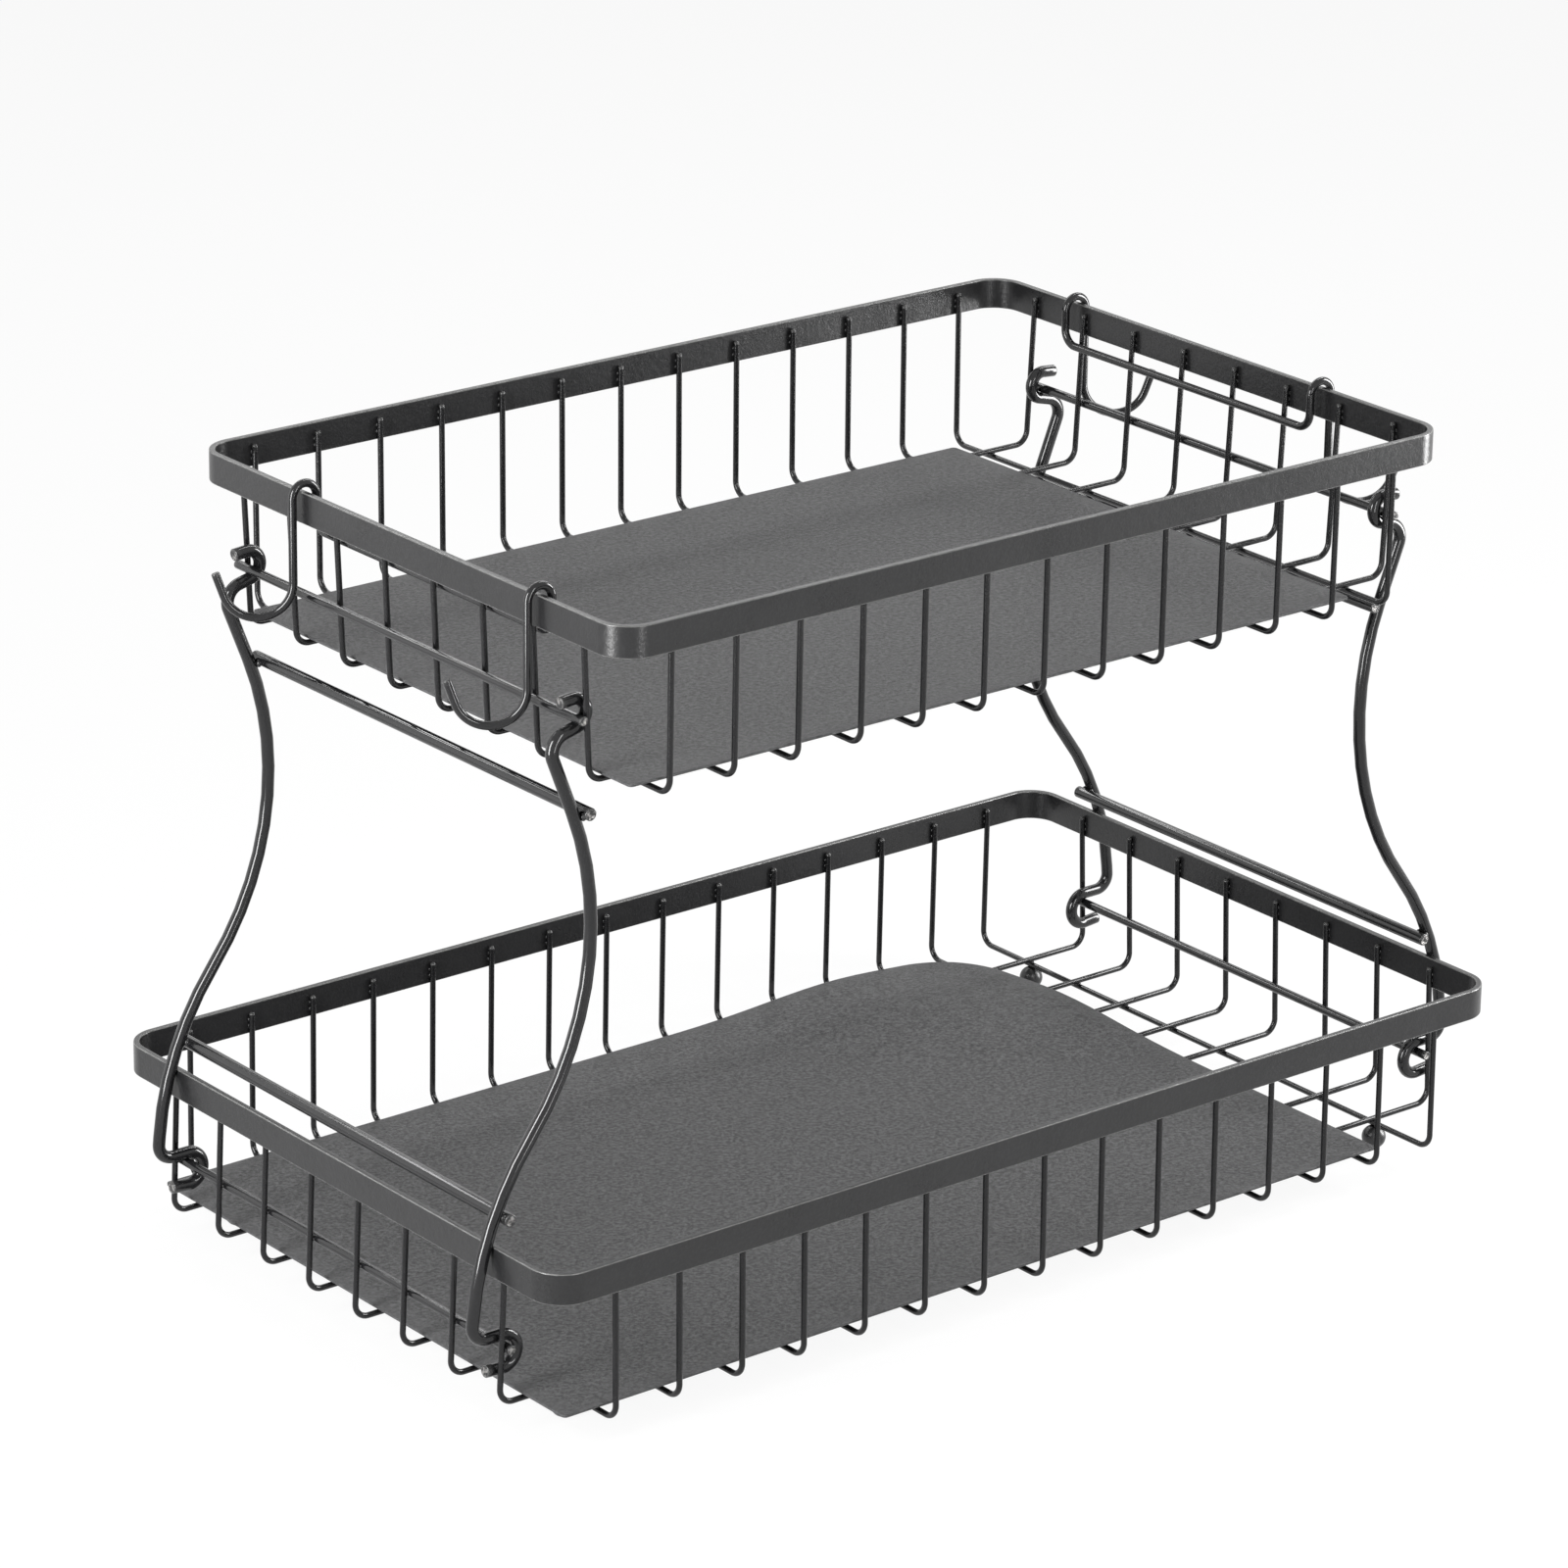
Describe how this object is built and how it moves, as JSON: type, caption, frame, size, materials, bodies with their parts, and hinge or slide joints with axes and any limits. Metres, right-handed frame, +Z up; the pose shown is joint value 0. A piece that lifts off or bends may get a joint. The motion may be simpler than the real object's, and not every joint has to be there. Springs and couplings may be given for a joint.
{
  "type": "tiered wire basket",
  "caption": "Tiered wire countertop basket with flat strip rims, curved hook-on legs, lift-off hook racks at the ends, loose floor liners and ball feet.",
  "frame": {"origin": "on the ground, under the middle of the baskets", "axes": "+X along the baskets' long side, +Y from front to back, +Z up"},
  "size_m": [0.4196, 0.242, 0.2706],
  "materials": {
    "rim_coat": "matte black powder coat on flat steel strip",
    "wire_coat": "satin black powder coat on thin steel wire",
    "frame_coat": "satin black powder coat on steel rod",
    "hook_coat": "satin black powder coat on bent steel wire",
    "liner": "fine-grained dark grey sheet",
    "foot": "gloss black ball"
  },
  "bodies": {
    "basket_frame": {"back_left_leg": "frame_coat", "back_right_leg": "frame_coat", "ball_feet": "foot", "front_left_leg": "frame_coat", "front_right_leg": "frame_coat", "lower_cross_wire_01": "wire_coat", "lower_cross_wire_02": "wire_coat", "lower_cross_wire_03": "wire_coat", "lower_cross_wire_04": "wire_coat", "lower_cross_wire_05": "wire_coat", "lower_cross_wire_06": "wire_coat", "lower_cross_wire_07": "wire_coat", "lower_cross_wire_08": "wire_coat", "lower_cross_wire_09": "wire_coat", "lower_cross_wire_10": "wire_coat", "lower_cross_wire_11": "wire_coat", "lower_cross_wire_12": "wire_coat", "lower_cross_wire_13": "wire_coat", "lower_cross_wire_14": "wire_coat", "lower_cross_wire_15": "wire_coat", "lower_crossbars": "frame_coat", "lower_end_rods": "frame_coat", "lower_long_wire_1": "wire_coat", "lower_long_wire_2": "wire_coat", "lower_long_wire_3": "wire_coat", "lower_long_wire_4": "wire_coat", "lower_long_wire_5": "wire_coat", "lower_long_wire_6": "wire_coat", "lower_long_wire_7": "wire_coat", "lower_long_wire_8": "wire_coat", "lower_rim": "rim_coat", "upper_cross_wire_01": "wire_coat", "upper_cross_wire_02": "wire_coat", "upper_cross_wire_03": "wire_coat", "upper_cross_wire_04": "wire_coat", "upper_cross_wire_05": "wire_coat", "upper_cross_wire_06": "wire_coat", "upper_cross_wire_07": "wire_coat", "upper_cross_wire_08": "wire_coat", "upper_cross_wire_09": "wire_coat", "upper_cross_wire_10": "wire_coat", "upper_cross_wire_11": "wire_coat", "upper_cross_wire_12": "wire_coat", "upper_cross_wire_13": "wire_coat", "upper_crossbars": "frame_coat", "upper_end_rods": "frame_coat", "upper_long_wire_1": "wire_coat", "upper_long_wire_2": "wire_coat", "upper_long_wire_3": "wire_coat", "upper_long_wire_4": "wire_coat", "upper_long_wire_5": "wire_coat", "upper_long_wire_6": "wire_coat", "upper_long_wire_7": "wire_coat", "upper_long_wire_8": "wire_coat", "upper_rim": "rim_coat"},
    "left_hook_rack": {"left_hook_rack": "hook_coat"},
    "right_hook_rack": {"right_hook_rack": "hook_coat"},
    "upper_liner": {"upper_liner": "liner"},
    "lower_liner": {"lower_liner": "liner"}
  },
  "joints": [
    {"name": "left_rack_lift", "type": "slide", "parent": "basket_frame", "child": "left_hook_rack", "axis": [0, 0, 1], "range_m": [0, 0.04]},
    {"name": "right_rack_lift", "type": "slide", "parent": "basket_frame", "child": "right_hook_rack", "axis": [0, 0, 1], "range_m": [0, 0.04]},
    {"name": "upper_liner_lift", "type": "slide", "parent": "basket_frame", "child": "upper_liner", "axis": [0, 0, 1], "range_m": [0, 0.07]},
    {"name": "lower_liner_slide", "type": "slide", "parent": "basket_frame", "child": "lower_liner", "axis": [1, 0, 0], "range_m": [-0.002, 0.04]}
  ]
}
